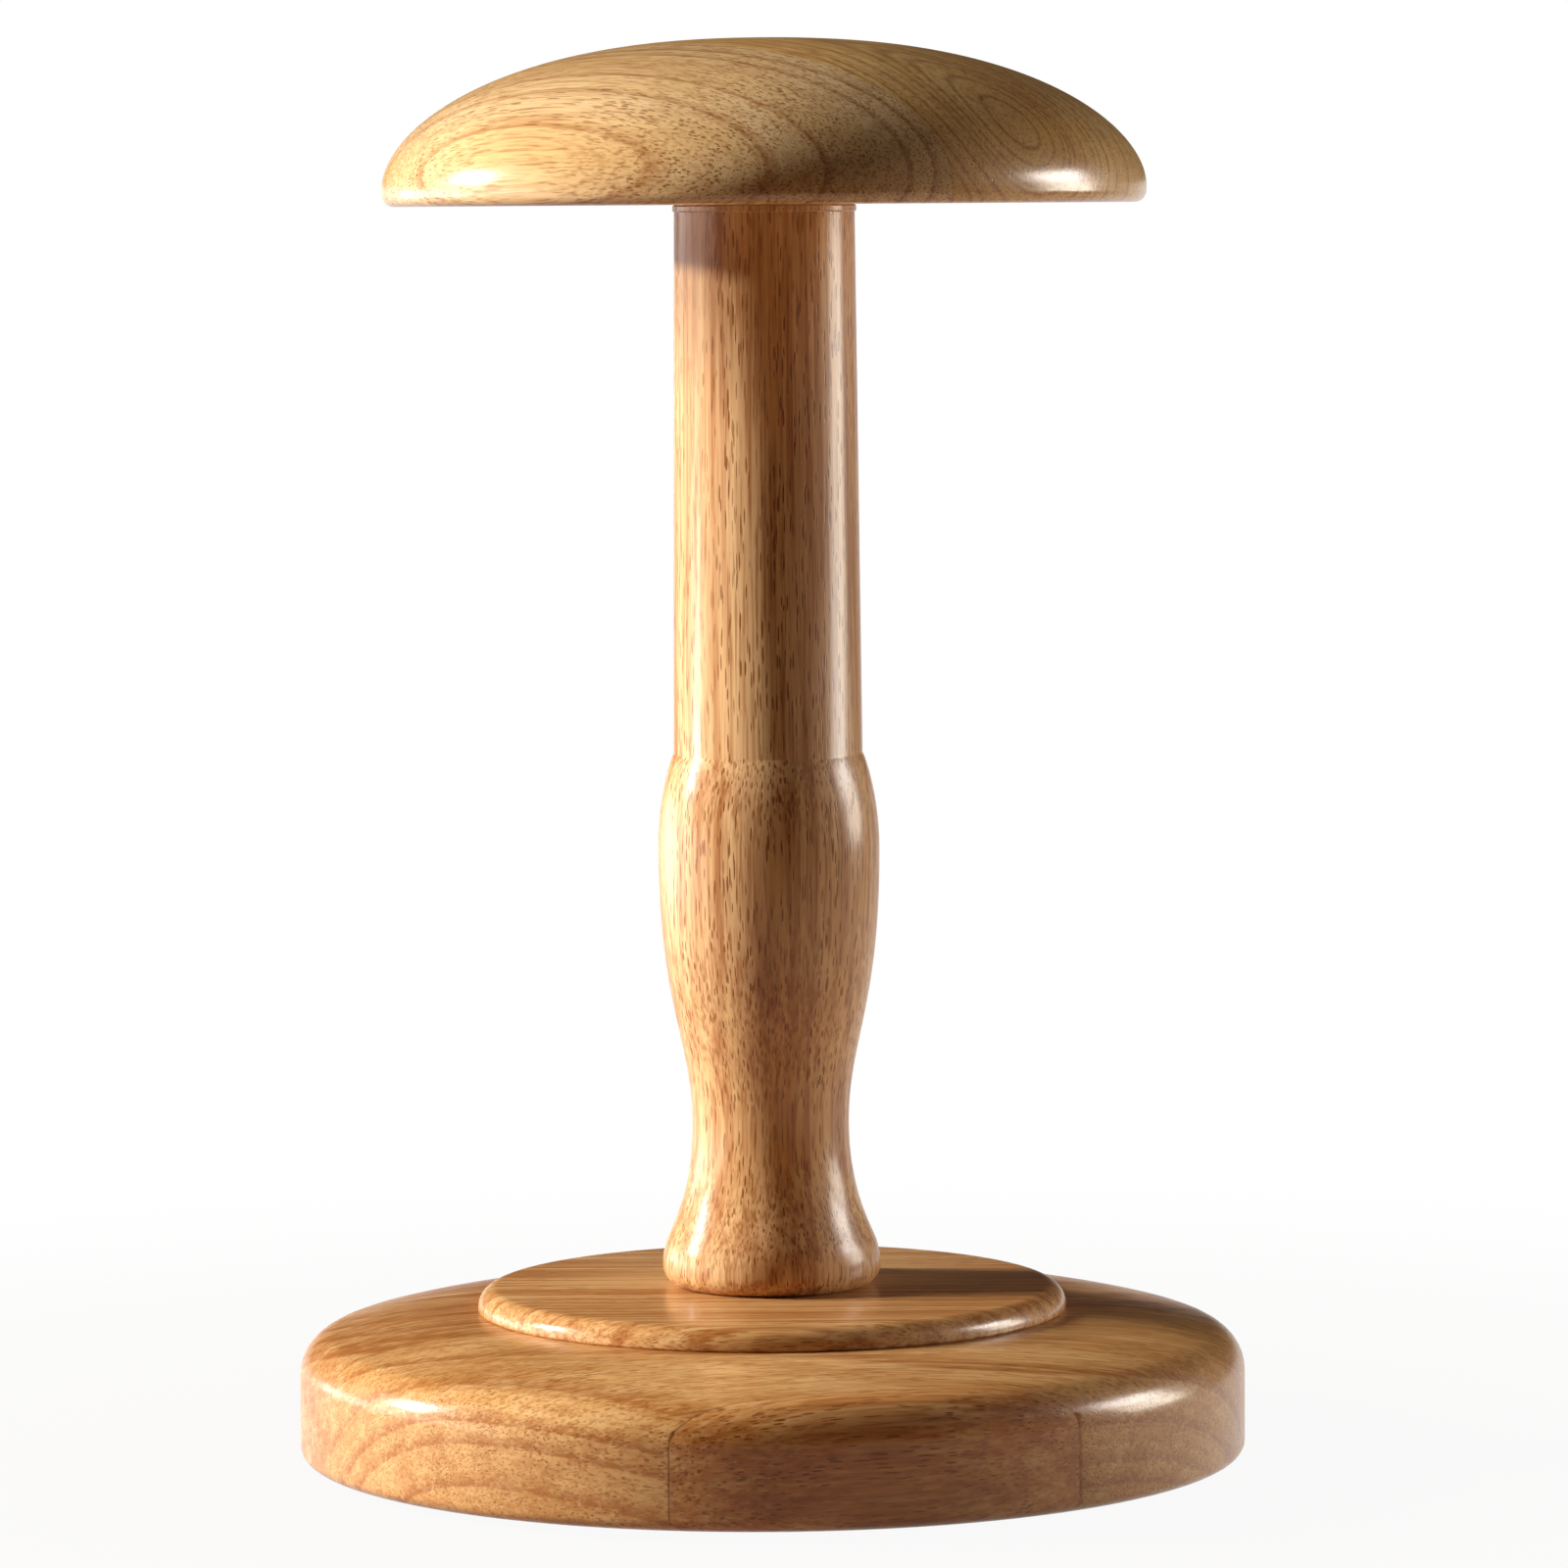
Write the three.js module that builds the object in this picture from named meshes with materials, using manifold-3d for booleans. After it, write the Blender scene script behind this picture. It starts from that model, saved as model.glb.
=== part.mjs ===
// A turned wooden stand: a two-tier round base, a vase-shaped column and a domed mushroom head.
// Millimetres, +Z up. The origin lies on the table under the column's axis, and the front faces -Y.
// The discs are cut from boards glued edge to edge, and hidden screws hold head, column and base together.
import * as THREE from "three";
import { mergeVertices, toCreasedNormals } from "three/addons/utils/BufferGeometryUtils.js";
import Module from "manifold-3d";

const wasm = await Module();
wasm.setup();

const degrees = Math.PI / 180;

// Clearances between neighbours
const glueLine = 0.3; // between two boards glued edge to edge
const fitGap = 0.3; // round a metal piece in its hole
const boltPlay = 0.5; // round a bolt that passes through wood or a washer
const holeSpare = 2; // depth left free beyond the end of a blind hole's guest

// Felt pads under the base
const padCount = 4;
const padRadius = 8;
const padThickness = 2;
const padInset = 12; // bare wood between a pad and the base's rim

// Base, the lower disc: flat under the step, then falling in a wide crown to a soft rim
const baseRadius = 100;
const baseHeight = 30.25;
const baseCrownRadius = 120;
const baseRimRounding = 9;
const baseFootRounding = 2.5;
const baseFibreAzimuth = 13.2 * degrees;
const baseGlueShares = [-0.906, -0.186, 0.534]; // glue lines across the fibres, in radii from the axis

// Step, the upper disc
const stepRadius = 62.25;
const stepHeight = 5;
const stepTopRounding = 4.2;
const stepTuck = 0.6;
const stepFibreAzimuth = 0;
const stepGlueShares = [-0.1];

// Column: heights are above the step's top
const columnHeight = 228;
const beadRadius = 23.05;
const beadWidestHeight = 4.25;
const beadUpperRounding = 15.7;
const beadTopHeight = 10.75;
const waistRadius = 16.55;
const waistHeight = 34.5;
const bulgeRadius = 23.35;
const bulgeHeight = 92.75;
const shoulderRadius = 19.9;
const shoulderHeight = 113;
const neckRadius = 18.95;
const lipHeight = 1.25;
const lipProud = 0.35;

// How far the column's curves hold their direction at each end
const beadPull = 4.5;
const waistPullDown = 12;
const waistPullUp = 17.5;
const bulgePullDown = 34;
const bulgePullUp = 8;
const shoulderPull = 4.5;
const shoulderLean = 0.42; // outward per unit of height, just under the shoulder's crease

// Head: a dome over a short upright rim
const headRadius = 80;
const headHeight = 34.75;
const headRimHeight = 3.75;
const headFootRounding = 2.5;
const headFlatness = 2.3; // above 2, the crown is flatter than an ellipse
const headFall = 1.8; // below 2, the sides fall more evenly than an ellipse
const headFibreAzimuth = -40 * degrees;
const headGlueShares = [-0.369];

// Screws: an M8 connector bolt from below, an M8 hanger bolt at the neck, and their threaded inserts
const boltRadius = 4;
const boltHeadRadius = 6.5;
const boltHeadHeight = 8;
const boltEndChamfer = 0.8;
const socketAcrossFlats = 6;
const socketDepth = 4;
const counterboreRadius = 12;
const counterboreDepth = 12;
const washerRadius = 10;
const washerThickness = 1.5;
const insertRadius = 6;
const insertLength = 18;
const insertSink = 0.5; // below the wood's face
const boltGrip = 15; // thread held by an insert
const hangerDepth = 26; // wood thread held by the column
const hangerPoint = 5;

// Facets
const discSegments = 72;
const columnSegments = 48;
const smallSegments = 24;
const domeSteps = 14;
const crownSteps = 6;
const roundingSteps = 5;
const curveSteps = 8;
const tuckSteps = 2;
const creaseAngle = 30 * degrees; // edges sharper than this are shaded sharp

// Heights of the seats, from the table up
const baseBottom = padThickness;
const baseTop = baseBottom + baseHeight;
const stepTop = baseTop + stepHeight;
const columnTop = stepTop + columnHeight;
const counterboreTop = baseBottom + counterboreDepth;
const holeRadius = boltRadius + boltPlay;
const pilotRadius = insertRadius + fitGap;
const pilotDepth = insertSink + insertLength + holeSpare;

const woods = {
  honey: { color: 0xc99a63, roughness: 0.32, metalness: 0 },
  tan: { color: 0xbd8a55, roughness: 0.32, metalness: 0 },
  cream: { color: 0xd6ad7a, roughness: 0.32, metalness: 0 },
};
const zinc = { color: 0xb9b9b4, roughness: 0.35, metalness: 1 };
const brass = { color: 0xc6a052, roughness: 0.4, metalness: 1 };
const felt = { color: 0x4a3524, roughness: 1, metalness: 0 };

// A profile point: distance from the axis and height.
function at(radius, height) {
  return new THREE.Vector2(radius, height);
}

// Profile points along an arc. Angles run from outward (0) over upward (90 degrees).
function arc(centreRadius, centreHeight, radius, from, to, steps) {
  return Array.from({ length: steps + 1 }, (_, i) => {
    const angle = from + ((to - from) * i) / steps;
    return at(centreRadius + radius * Math.cos(angle), centreHeight + radius * Math.sin(angle));
  });
}

// Profile points along a cubic curve, without its first point.
function sweep(start, startPull, endPull, end) {
  return new THREE.CubicBezierCurve(start, startPull, endPull, end).getPoints(curveSteps).slice(1);
}

// A profile turned about the Z axis.
function turned(profile, segments) {
  return new THREE.LatheGeometry(profile, segments).rotateX(Math.PI / 2);
}

// A ring whose section closes on itself.
function turnedRing(section, segments) {
  return turned([...section, section[0].clone()], segments);
}

// A closed geometry as a solid that can be cut and joined.
function solidOf(geometry) {
  const bare = geometry.clone();
  bare.deleteAttribute("normal");
  bare.deleteAttribute("uv");
  const merged = mergeVertices(bare);
  return new wasm.Manifold(
    new wasm.Mesh({
      numProp: 3,
      vertProperties: merged.attributes.position.array,
      triVerts: new Uint32Array(merged.index.array),
    }),
  );
}

// A solid back as a geometry, shaded smooth except at its edges.
function geometryOf(solid) {
  const mesh = solid.getMesh();
  const geometry = new THREE.BufferGeometry();
  geometry.setAttribute("position", new THREE.BufferAttribute(mesh.vertProperties, mesh.numProp));
  geometry.setIndex(new THREE.BufferAttribute(mesh.triVerts, 1));
  return toCreasedNormals(geometry, creaseAngle);
}

function piece(name, geometry, look) {
  const mesh = new THREE.Mesh(geometry, new THREE.MeshStandardMaterial(look));
  mesh.name = name;
  return mesh;
}

// One board of a blank: the slab between two glue lines.
function slab(radius, bottom, top, from, to, fibreAzimuth) {
  const box = new THREE.BoxGeometry(4 * radius, to - from, 2 * (top - bottom));
  box.translate(0, (from + to) / 2, (bottom + top) / 2);
  return box.rotateZ(fibreAzimuth);
}

// Cuts a turned blank into the boards that it is glued up from.
function boards(name, blank, radius, bottom, top, glueShares, fibreAzimuth, looks) {
  const group = new THREE.Group();
  const whole = solidOf(blank);
  const edges = [-2, ...glueShares, 2].map((share) => share * radius);
  for (let i = 0; i < edges.length - 1; i++) {
    const from = edges[i] + glueLine / 2;
    const to = edges[i + 1] - glueLine / 2;
    const board = whole.intersect(solidOf(slab(radius, bottom, top, from, to, fibreAzimuth)));
    group.add(piece(`${name}_board_${i + 1}`, geometryOf(board), looks[i % looks.length]));
  }
  return group;
}

// The base's blank, with its bolt hole and the counterbore for the bolt's head.
function baseBlank() {
  const stepEdge = stepRadius - stepTuck;
  const rimCentre = baseRadius - baseRimRounding;
  const crownReach = baseCrownRadius - baseRimRounding;
  const crownRun = rimCentre - stepEdge;
  const crownCentre = baseTop - baseCrownRadius;
  const rimHeight = crownCentre + Math.sqrt(crownReach ** 2 - crownRun ** 2);
  const meeting = Math.acos(crownRun / crownReach);
  const footCentre = baseRadius - baseFootRounding;
  return turnedRing(
    [
      at(counterboreRadius, baseBottom),
      ...arc(footCentre, baseBottom + baseFootRounding, baseFootRounding, -Math.PI / 2, 0, roundingSteps),
      ...arc(rimCentre, rimHeight, baseRimRounding, 0, meeting, roundingSteps),
      ...arc(stepEdge, crownCentre, baseCrownRadius, meeting, Math.PI / 2, crownSteps).slice(1),
      at(holeRadius, baseTop),
      at(holeRadius, counterboreTop),
      at(counterboreRadius, counterboreTop),
    ],
    discSegments,
  );
}

// The step's blank: a round-over at the top and a small tuck where it meets the base.
function stepBlank() {
  const tuckHeight = baseTop + stepTuck;
  const overHeight = stepTop - stepTopRounding;
  return turnedRing(
    [
      at(holeRadius, baseTop),
      ...arc(stepRadius - stepTuck, tuckHeight, stepTuck, -Math.PI / 2, 0, tuckSteps),
      ...arc(stepRadius - stepTopRounding, overHeight, stepTopRounding, 0, Math.PI / 2, roundingSteps),
      at(holeRadius, stepTop),
    ],
    discSegments,
  );
}

// The column's outline, from the bead at its foot to the lip at its neck, above the step's top.
function columnOutline() {
  const underBead = beadWidestHeight;
  const beadRise = beadTopHeight - beadWidestHeight;
  const beadAngle = Math.asin(beadRise / beadUpperRounding);
  const upperCentre = beadRadius - beadUpperRounding;
  const beadTopRadius = upperCentre + beadUpperRounding * Math.cos(beadAngle);
  const beadLean = Math.tan(beadAngle);
  const lipBottom = columnHeight - lipHeight;
  const waist = at(waistRadius, waistHeight);
  const bulge = at(bulgeRadius, bulgeHeight);
  const shoulder = at(shoulderRadius, shoulderHeight);
  return [
    ...arc(beadRadius - underBead, beadWidestHeight, underBead, -Math.PI / 2, 0, roundingSteps),
    ...arc(upperCentre, beadWidestHeight, beadUpperRounding, 0, beadAngle, roundingSteps).slice(1),
    ...sweep(
      at(beadTopRadius, beadTopHeight),
      at(beadTopRadius - beadLean * beadPull, beadTopHeight + beadPull),
      at(waistRadius, waistHeight - waistPullDown),
      waist,
    ),
    ...sweep(
      waist,
      at(waistRadius, waistHeight + waistPullUp),
      at(bulgeRadius, bulgeHeight - bulgePullDown),
      bulge,
    ),
    ...sweep(
      bulge,
      at(bulgeRadius, bulgeHeight + bulgePullUp),
      at(shoulderRadius + shoulderLean * shoulderPull, shoulderHeight - shoulderPull),
      shoulder,
    ),
    at(neckRadius, lipBottom - lipProud),
    at(neckRadius + lipProud, lipBottom),
    at(neckRadius + lipProud, columnHeight - lipProud),
    at(neckRadius, columnHeight),
  ];
}

// The column, bored at the foot for its insert and at the neck for the hanger bolt.
function column() {
  const boreRadius = boltRadius + fitGap;
  const boreBottom = columnHeight - hangerDepth - holeSpare;
  const geometry = turned(
    [
      at(0, pilotDepth),
      at(pilotRadius, pilotDepth),
      at(pilotRadius, 0),
      ...columnOutline(),
      at(boreRadius, columnHeight),
      at(boreRadius, boreBottom),
      at(0, boreBottom),
    ],
    columnSegments,
  );
  const mesh = piece("column", geometry, woods.honey);
  mesh.position.z = stepTop;
  return mesh;
}

// The dome's outline above its rim, from the rim to the crown.
function domeOutline(rimHeight) {
  const rise = headHeight - headRimHeight;
  return Array.from({ length: domeSteps + 1 }, (_, i) => {
    const angle = (Math.PI / 2) * (i / domeSteps);
    const across = i === domeSteps ? 0 : Math.cos(angle) ** (2 / headFlatness);
    return at(headRadius * across, rimHeight + rise * Math.sin(angle) ** (2 / headFall));
  });
}

// The head's blank, with a blind hole for its insert.
function headBlank() {
  const bottom = columnTop;
  const holeTop = bottom + pilotDepth;
  const footCentre = headRadius - headFootRounding;
  return turned(
    [
      at(0, holeTop),
      at(pilotRadius, holeTop),
      at(pilotRadius, bottom),
      ...arc(footCentre, bottom + headFootRounding, headFootRounding, -Math.PI / 2, 0, roundingSteps),
      ...domeOutline(bottom + headRimHeight),
    ],
    discSegments,
  );
}

// A threaded insert, whose thread is left plain: a sleeve with a chamfered leading end.
function insert(name, mouthHeight) {
  const bore = boltRadius + fitGap;
  const chamfer = boltEndChamfer;
  const section = [
    at(bore, 0),
    at(insertRadius, 0),
    at(insertRadius, insertLength - chamfer),
    at(insertRadius - chamfer, insertLength),
    at(bore, insertLength),
  ];
  const mesh = piece(name, turnedRing(section, smallSegments), brass);
  mesh.position.z = mouthHeight + insertSink;
  return mesh;
}

function flatWasher() {
  const section = [
    at(holeRadius, 0),
    at(washerRadius, 0),
    at(washerRadius, washerThickness),
    at(holeRadius, washerThickness),
  ];
  const mesh = piece("flat_washer", turnedRing(section, smallSegments), zinc);
  mesh.position.z = counterboreTop - washerThickness;
  return mesh;
}

// The connector bolt: a socket head under the washer, and a shank up into the column's insert.
function connectorBolt() {
  const seat = counterboreTop - washerThickness;
  const shank = stepTop + boltGrip - seat;
  const body = turned(
    [
      at(0, -boltHeadHeight),
      at(boltHeadRadius - boltEndChamfer, -boltHeadHeight),
      at(boltHeadRadius, boltEndChamfer - boltHeadHeight),
      at(boltHeadRadius, 0),
      at(boltRadius, 0),
      at(boltRadius, shank - boltEndChamfer),
      at(boltRadius - boltEndChamfer, shank),
      at(0, shank),
    ],
    smallSegments,
  );
  const cornerRadius = socketAcrossFlats / 2 / Math.cos(Math.PI / 6);
  const socket = new THREE.CylinderGeometry(cornerRadius, cornerRadius, 2 * socketDepth, 6);
  socket.rotateX(Math.PI / 2).translate(0, 0, -boltHeadHeight);
  const mesh = piece("connector_bolt", geometryOf(solidOf(body).subtract(solidOf(socket))), zinc);
  mesh.position.z = seat;
  return mesh;
}

// The hanger bolt: a wood screw's point down in the column, a machine thread up into the head's insert.
function hangerBolt() {
  const geometry = turned(
    [
      at(0, -hangerDepth),
      at(boltRadius, hangerPoint - hangerDepth),
      at(boltRadius, boltGrip - boltEndChamfer),
      at(boltRadius - boltEndChamfer, boltGrip),
      at(0, boltGrip),
    ],
    smallSegments,
  );
  const mesh = piece("hanger_bolt", geometry, zinc);
  mesh.position.z = columnTop;
  return mesh;
}

function feltPads() {
  const group = new THREE.Group();
  const reach = baseRadius - padInset - padRadius;
  for (let i = 0; i < padCount; i++) {
    const azimuth = ((i + 0.5) * 2 * Math.PI) / padCount;
    const disc = new THREE.CylinderGeometry(padRadius, padRadius, padThickness, smallSegments);
    disc.rotateX(Math.PI / 2).translate(0, 0, padThickness / 2);
    const pad = piece(`felt_pad_${i + 1}`, disc, felt);
    pad.position.set(reach * Math.cos(azimuth), reach * Math.sin(azimuth), 0);
    group.add(pad);
  }
  return group;
}

const stand = new THREE.Group();
stand.name = "mushroom_stand";
stand.add(
  boards(
    "base",
    baseBlank(),
    baseRadius,
    baseBottom,
    baseTop,
    baseGlueShares,
    baseFibreAzimuth,
    [woods.tan, woods.cream, woods.honey, woods.tan],
  ),
  boards(
    "step",
    stepBlank(),
    stepRadius,
    baseTop,
    stepTop,
    stepGlueShares,
    stepFibreAzimuth,
    [woods.cream, woods.tan],
  ),
  column(),
  boards(
    "head",
    headBlank(),
    headRadius,
    columnTop,
    columnTop + headHeight,
    headGlueShares,
    headFibreAzimuth,
    [woods.cream, woods.tan],
  ),
  insert("column_insert", stepTop),
  insert("head_insert", columnTop),
  flatWasher(),
  connectorBolt(),
  hangerBolt(),
  feltPads(),
);

export default stand;
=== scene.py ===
"""Looks of the turned stand: a domed head and a vase-shaped column on a two-tier base, in lacquered wood.

Lengths are millimetres in the constants, unless a comment says metres, and metres in the meshes. The boards
of the discs are cut from turned blanks. One wood material grows rings, pores and streaks in three dimensions,
so the figure follows every cut surface.
"""

import math

import bmesh
import bpy
from mathutils import Matrix, Vector


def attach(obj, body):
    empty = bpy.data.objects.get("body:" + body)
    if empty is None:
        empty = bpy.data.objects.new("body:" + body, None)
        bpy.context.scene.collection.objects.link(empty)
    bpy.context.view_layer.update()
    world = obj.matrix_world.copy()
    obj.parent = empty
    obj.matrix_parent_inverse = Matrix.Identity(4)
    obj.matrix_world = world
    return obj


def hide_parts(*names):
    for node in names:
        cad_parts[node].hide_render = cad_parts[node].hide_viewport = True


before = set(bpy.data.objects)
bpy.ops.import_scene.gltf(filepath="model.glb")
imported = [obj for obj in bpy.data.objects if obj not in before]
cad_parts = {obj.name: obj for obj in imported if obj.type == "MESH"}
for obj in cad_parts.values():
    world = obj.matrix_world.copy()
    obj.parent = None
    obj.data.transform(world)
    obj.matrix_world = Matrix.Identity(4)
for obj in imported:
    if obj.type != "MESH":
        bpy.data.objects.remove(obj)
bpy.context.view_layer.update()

MM = 0.001

# Camera: place, pitch and roll in degrees, and the nearest and farthest distance it shows, in metres
LENS = 166.3
SENSOR = 36
CAMERA_PLACE = (3.3, -1522, 265.1)
CAMERA_PITCH = -4.57
CAMERA_ROLL = -0.4
CAMERA_REACH = (0.05, 50)

# Heights of the seats, from the table up
PAD_THICKNESS = 2
BASE_TOP = 32.25
STEP_TOP = 37.25
COLUMN_TOP = 265.25
HEAD_TOP = 300

# Base and step
BASE_RADIUS = 100
BASE_CROWN = 120
BASE_RIM_ROUNDING = 9
BASE_FOOT_ROUNDING = 2.5
STEP_RADIUS = 62.25
STEP_ROUNDING = 4.2
STEP_TUCK = 0.6
COUNTERBORE_RADIUS = 12
COUNTERBORE_TOP = 14
BOLT_HOLE_RADIUS = 4.5

# Column: radius and height above the step's top, and how far the curve pulls straight on there
BEAD = (23.05, 4.25)
BEAD_UPPER_ROUNDING = 15.7
BEAD_TOP_HEIGHT = 10.75
BEAD_PULL = 4.5
WAIST = (16.55, 34.5)
WAIST_PULLS = (12, 17.5)
BULGE = (23.35, 92.75)
BULGE_PULLS = (34, 8)
SHOULDER = (19.9, 113)
SHOULDER_PULL = 4.5
SHOULDER_LEAN = 0.42
NECK_RADIUS = 18.95
LIP_HEIGHT = 1.25
LIP_PROUD = 0.35

# Head: the dome is a superellipse, whose powers give a flat crown and a full rim
HEAD_RADIUS = 80
HEAD_RIM_HEIGHT = 3.75
HEAD_FOOT_ROUNDING = 2.5
HEAD_FLATNESS = 2.3
HEAD_FALL = 1.8

# Holes for the screws and inserts
INSERT_HOLE_RADIUS = 6.3
INSERT_HOLE_DEPTH = 20.5
HANGER_HOLE_RADIUS = 4.3
HANGER_HOLE_DEPTH = 28

# Felt pads: the hollow is in the middle of the sole, and the reach is from the stand's axis to the pad's
PAD_RADIUS = 8
PAD_SOLE_ROUNDING = 0.8
PAD_TOP_ROUNDING = 0.6
PAD_HOLLOW = 0.15
PAD_REACH = 80
PAD_COUNT = 4

# Boards: direction of the fibres in degrees, and the glue lines' distances from the axis across the fibres
BASE_AZIMUTH = 13.2
BASE_GLUE = (-90.6, -18.6, 53.4)
STEP_AZIMUTH = 0
STEP_GLUE = (-6.225,)
HEAD_AZIMUTH = -40
HEAD_GLUE = (-29.52,)
GLUE_GAP = 0.04

# Facets
DISC_SEGMENTS = 240
COLUMN_SEGMENTS = 160
SMALL_SEGMENTS = 64
DOME_STEPS = 56
CURVE_STEPS = 28
ROUNDING_STEPS = 8
SHARP_ANGLE = 30

# Each board's own wood:
# fibres: their azimuth in degrees, or None where they run upright, and drift: their slope sideways and up
# pith: its place beside and above the stand's axis, and wander: how far the rings stray from round
# bold: the bold rings' distances from the pith, band: their width, and lines: their strength
# streaks, coat and pores: the strength of each, and seed: the shift of the random figure
# tones: the light and the dark tone, as they show in 0 to 255
BASE_WOOD = {"fibres": BASE_AZIMUTH, "wander": 3, "band": 3, "streaks": 0.8, "coat": 0.8, "pores": 0.6}
BASE_LOOKS = (
    {
        **BASE_WOOD, "drift": (0, 0.02), "pith": (-190, -20),
        "bold": (92, 104), "lines": 0.4, "streaks": 1.0,
        "seed": 3, "pores": 0.9, "tones": ((226, 164, 98), (206, 138, 74)),
    },
    {
        **BASE_WOOD, "drift": (-0.11, -0.08), "pith": (-80.4, -42.7), "wander": 1.5,
        "bold": (32, 45.3, 53.8, 58.3, 66, 75), "lines": 0.75, "streaks": 0.6,
        "seed": 11, "tones": ((226, 174, 110), (204, 148, 84)),
    },
    {
        **BASE_WOOD, "drift": (0.02, 0.01), "pith": (-40, -150),
        "bold": (181, 183, 186, 190, 193, 198), "band": 2, "lines": 0.8,
        "seed": 27, "tones": ((214, 162, 102), (190, 134, 78)),
    },
    {
        **BASE_WOOD, "drift": (0.02, 0), "pith": (90, -90),
        "bold": (110, 124, 131), "lines": 0.7,
        "seed": 41, "tones": ((205, 150, 95), (180, 122, 72)),
    },
)
STEP_WOOD = {
    "fibres": STEP_AZIMUTH, "wander": 1, "band": 2.5, "lines": 0.8, "streaks": 1.0, "coat": 0.8, "pores": 0.6,
}
STEP_LOOKS = (
    {
        **STEP_WOOD, "drift": (0.01, 0), "pith": (-190, 60),
        "bold": (132, 139, 147, 151, 158, 166, 171, 178),
        "seed": 53, "tones": ((232, 182, 118), (206, 148, 86)),
    },
    {
        **STEP_WOOD, "drift": (-0.01, 0), "pith": (150, 60),
        "bold": (95, 101, 108, 111, 119, 126, 130, 137, 145),
        "seed": 67, "tones": ((220, 168, 104), (188, 132, 72)),
    },
)
HEAD_WOOD = {"lines": 0.65, "coat": 1.0}
HEAD_LOOKS = (
    {
        **HEAD_WOOD, "fibres": -38.9, "drift": (0, 0.031), "pith": (-90.9, 278), "wander": 1.5,
        "bold": (18.3, 30, 38, 52, 57), "band": 1.8, "streaks": 0.4,
        "seed": 71, "pores": 0.7, "tones": ((250, 212, 158), (238, 192, 128)),
    },
    {
        **HEAD_WOOD, "fibres": -41.3, "drift": (0, -0.072), "pith": (-5.8, 286.6), "wander": 0.5,
        "bold": (4.8, 8.3, 11, 12.6, 14, 17.5, 21, 23, 26.3, 30, 36), "band": 0.9, "streaks": 0.3,
        "seed": 89, "pores": 0.35, "tones": ((254, 210, 138), (240, 186, 110)),
    },
)
COLUMN_LOOK = {
    "fibres": None, "drift": (0, 0), "pith": (6, -85), "wander": 3,
    "bold": (70, 80, 98), "band": 3, "lines": 0.5, "streaks": 1.0, "coat": 0.58,
    "seed": 97, "pores": 0.9, "tones": ((242, 196, 144), (222, 170, 112)),
}

# Colours of the figure, as they show in 0 to 255
LINE_COLOUR = (164, 94, 34)
PALE_COLOUR = (244, 206, 146)
PORE_COLOUR = (144, 82, 28)
GLUE_COLOUR = (140, 88, 46)

# Lengths of the figure along and across the fibres, and the shift of a place per seed
WANDER_LENGTHS = (130, 40)
PATCH_LENGTHS = (150, 22)
BROAD_LENGTHS = (110, 4.5)
STREAK_LENGTHS = (60, 1.1)
HAIR_LENGTHS = (18, 0.5)
FINE_RING_GAP = 2.3
SEED_SHIFT = (31.7, 7.9, 17.3)

# How the figure tinges the wood: the values where the tinge starts and where it is full, and its strength
PATCH_LIMITS = (0.3, 0.7)
FINE_DARK = (0.5, 0.75, 0.35)
FINE_PALE = (0.5, 0.3, 0.2)
BROAD_DARK = (0.48, 0.68, 0.45)
BROAD_PALE = (0.5, 0.3, 0.35)
STREAK_DARK = (0.48, 0.7, 0.6)
STREAK_PALE = (0.5, 0.25, 0.45)
HAIR_DARK = (0.48, 0.7, 0.6)

# Bold rings: where their sharp side starts and is full, and how far streaks break them up
RING_EDGE = (-0.5, 0.1)
RING_BREAKS = (0.3, 0.6)
RING_WEAKEST = 0.5

# Pores: distance between neighbours, length of a cell, radius in cells and the share of cells without one.
# Over the onset they grow from faint to full, and the core is the share of the radius that is fully dark.
PORES = ((0.65, 7.5, 0.33, 0.0), (1.4, 10, 0.2, 0.1))
PORE_ONSET = 0.3
PORE_CORE = 0.75
PORE_SWAY_LENGTH = 12
PORE_SWAY = 1.0

# Crowding of the pores, in patches along the fibres and in rings
CROWD_LENGTHS = (80, 8)
CROWD_RING_GAP = 9
CROWD_LIMITS = (0.75, 1.08)
CROWD_LEAST = 0.35

# Worn edges: limits of the sharpness, how much hairs fray it, strength, and how far glue lines stay clear
WEAR_LIMITS = (0.55, 0.6)
WEAR_RAGGED = 0.04
WEAR_STRENGTH = 0.35
WEAR_CLEARANCE = (1.5, 4)

# Glue lines: the distances where the tinge starts and is full, and its strength
GLUE_TINGE = (0.22, 0.08, 0.2)

# Lacquer, and bumps as depth in millimetres and strength
WOOD_ROUGHNESS_LIMITS = (0.3, 0.7)
WOOD_ROUGHNESS = (0.56, 0.66)
WOOD_SPECULAR = 0.15
COAT_ROUGHNESS = 0.23
COAT_IOR = 1.4
HAIR_BUMP = (0.05, 0.4)
PORE_BUMP = (-0.07, 0.7)
COAT_BUMP = (-0.02, 0.5)

# Felt: its tones, its fuzz and its loose hairs, in cells per millimetre
FELT_TONES = ((62, 42, 28), (104, 76, 54))
FELT_HAIR_COLOUR = (140, 108, 82)
FELT_FUZZ_CELLS = 2.6
FELT_FUZZ_LIMITS = (0.3, 0.7)
FELT_HAIR_CELLS = (1.0, 6.0, 6.0)
FELT_HAIR_TINGE = (0.55, 0.75, 0.5)
FELT_ROUGHNESS = 0.95
FELT_SHEEN = 0.4
FELT_BUMP = (0.4, 0.9)

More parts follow.
